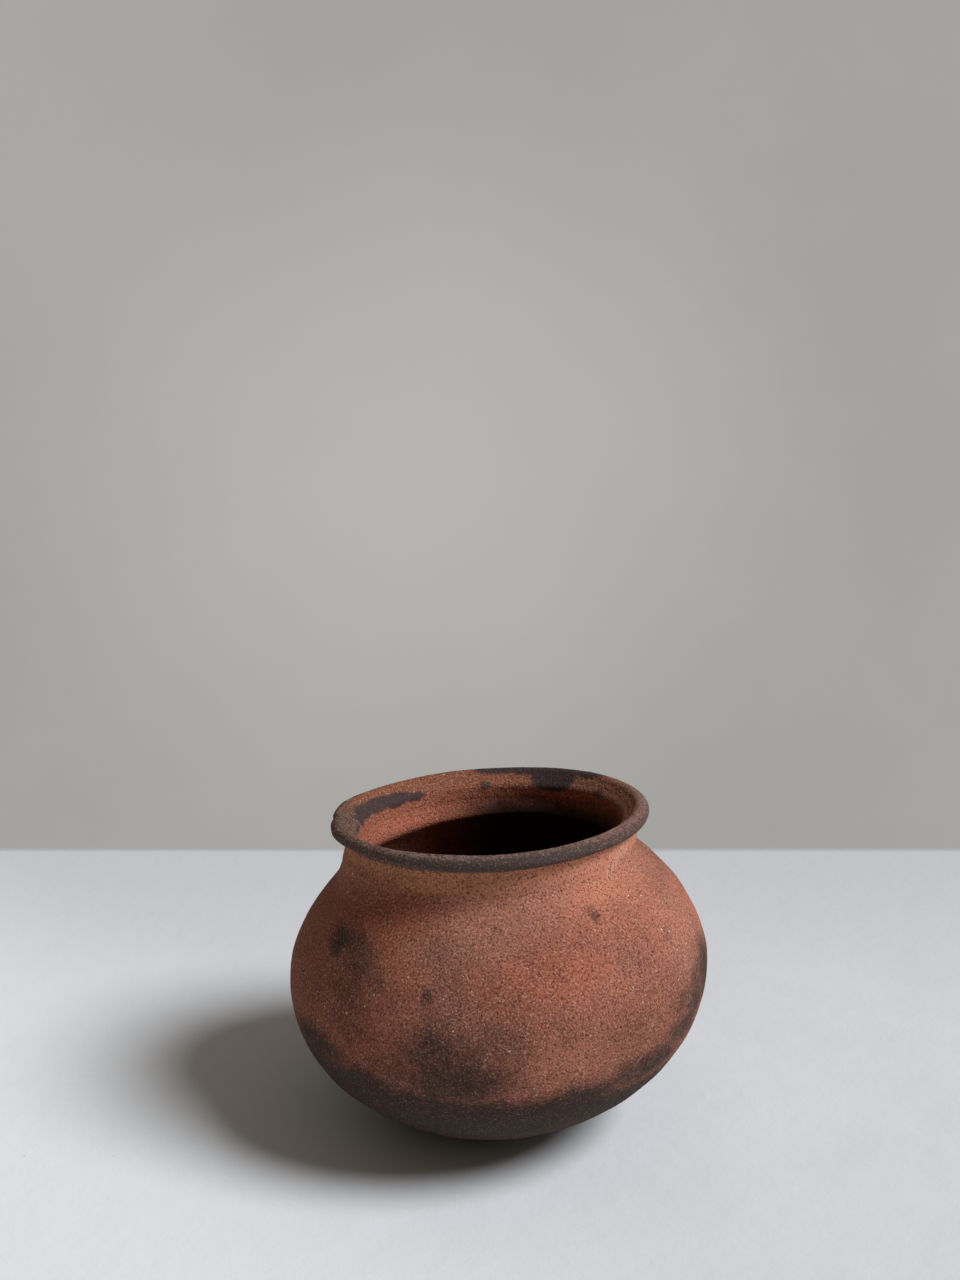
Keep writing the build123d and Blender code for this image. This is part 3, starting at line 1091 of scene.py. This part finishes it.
def plaster(settings):
    """Pale trowelled plaster, with painted shade towards the back, a painted pool of light at the left front
    and a painted shadow along the back edge.
    """
    desk = Desk(bpy.data.materials.new("plaster"))
    place = desk.out(desk.add("ShaderNodeTexCoord"), "Object")
    side, depth, _ = desk.split(place)
    cloud = desk.noise(place, 0.10, 5.0, 0.6).rise(0.3, 0.7)
    pits = desk.noise(place, 0.006, 3.0, 0.6).rise(0.72, 0.80) * desk.noise(place, 0.05).rise(0.48, 0.62)
    # A painted shadow along the back edge of the floor.
    edge = depth.rise(settings.floor_end - 0.012, settings.floor_end - 0.001)
    colour = desk.layers(desk.mix(cloud, dimmed(settings.floor, 0.95), settings.floor), (
        # Painted shade: darker towards the back.
        (depth.rise(0.02, 0.40), dimmed(settings.floor, 0.82)),
        # Painted light: a brighter pool at the left front.
        ((0 - side - depth).rise(-0.02, 0.34), dimmed(settings.floor, 1.13)),
        # The painted shadow at the back edge.
        (edge * 0.55, (0.30, 0.30, 0.29)),
        (pits * 0.5, (0.25, 0.23, 0.21)),
    ))
    height = desk.noise(place, 0.02, 6.0, 0.62) - pits * 0.3
    return desk.surface({"Base Color": colour, "Roughness": 0.8}, height, 0.35, 0.0016)


def make_lights(settings):
    """A soft window high on the right, and the light of the room's walls."""
    window = bpy.data.lights.new("window", "SUN")
    window.energy = settings.window_strength
    window.angle = settings.window_width
    window.color = (0.93, 0.965, 1.0)
    lamp = bpy.data.objects.new("window", window)
    level = math.cos(settings.window_height)
    towards = Vector((level * math.cos(settings.window_side), -level * math.sin(settings.window_side),
                      math.sin(settings.window_height)))
    lamp.location = towards * 2
    lamp.rotation_euler = (-towards).to_track_quat("-Z", "Y").to_euler()
    bpy.context.scene.collection.objects.link(lamp)
    bpy.context.scene.world = room(settings)


def room(settings):
    """Limewashed walls all round, darker overhead."""
    desk = Desk(bpy.data.worlds.new("room"))
    way = desk.out(desk.add("ShaderNodeTexCoord"), "Generated")
    side, depth, up = desk.split(way)
    cloud = desk.noise(way, 0.35, 6.0, 0.62).rise(0.25, 0.75)
    glow = desk.vector("DISTANCE", {0: way, 1: (-0.05, 1.0, -0.07)}, "Value").rise(0.36, 0.0)
    wall = desk.mix(cloud, dimmed(settings.room, 0.93), dimmed(settings.room, 1.02))
    colour = desk.layers(wall, (
        (glow * 0.55, dimmed(settings.room, 1.42)),
        (side.rise(-0.36, -0.62).most(depth.rise(0.35, -0.25)), settings.shade),
        (up.rise(0.30, 0.62), settings.ceiling),
    ))
    background = desk.add("ShaderNodeBackground", {}, {"Color": colour, "Strength": 1.0})
    desk.add("ShaderNodeOutputWorld", {}, {"Surface": desk.out(background, 0)})
    return desk.owner


def make_camera(settings):
    """The camera, a little above the pot and in front of it."""
    data = bpy.data.cameras.new("camera")
    data.lens = settings.lens
    data.sensor_width = 36.0
    camera = bpy.data.objects.new("camera", data)
    camera.location = (settings.camera_offset, -settings.camera_distance, settings.camera_height)
    camera.rotation_euler = (math.pi / 2 - settings.camera_pitch, 0, 0)
    bpy.context.scene.collection.objects.link(camera)
    bpy.context.scene.camera = camera


class ClayPotPanel(bpy.types.Panel):
    """Lists the pot's sizes and its makers."""

    bl_idname = "VIEW3D_PT_clay_pot"
    bl_label = "Clay Pot"
    bl_space_type = "VIEW_3D"
    bl_region_type = "UI"
    bl_category = "Clay Pot"

    def draw(self, context):
        for group in (context.scene.pot_sizes, context.scene.pot_hand,
                      context.scene.pot_colours, context.scene.pot_studio):
            column = self.layout.column(align=True)
            for key in group.__annotations__:
                column.prop(group, key)
        for operator in MAKERS:
            self.layout.operator(operator.bl_idname)


GROUPS = {"pot_sizes": PotSizes, "pot_hand": HandMarks, "pot_colours": ClayColours,
          "pot_studio": StudioSettings}
MAKERS = (StudioOperator, BaseBowlOperator, BodyCoursesOperator, NeckCollarOperator, RimLipOperator)


def register():
    """Adds the settings, the operators and the panel to Blender."""
    for name, group in GROUPS.items():
        bpy.utils.register_class(group)
        setattr(bpy.types.Scene, name, PointerProperty(type=group))
    for operator in MAKERS:
        bpy.utils.register_class(operator)
    bpy.utils.register_class(ClayPotPanel)


def unregister():
    """Takes away what register added."""
    bpy.utils.unregister_class(ClayPotPanel)
    for operator in reversed(MAKERS):
        bpy.utils.unregister_class(operator)
    for name, group in GROUPS.items():
        delattr(bpy.types.Scene, name)
        bpy.utils.unregister_class(group)


def main():
    """Makes the stage and every piece."""
    register()
    bpy.ops.clay_pot.studio()
    bpy.ops.clay_pot.base_bowl()
    bpy.ops.clay_pot.body_courses()
    bpy.ops.clay_pot.neck_collar()
    bpy.ops.clay_pot.rim_lip()


if __name__ == "__main__":
    main()
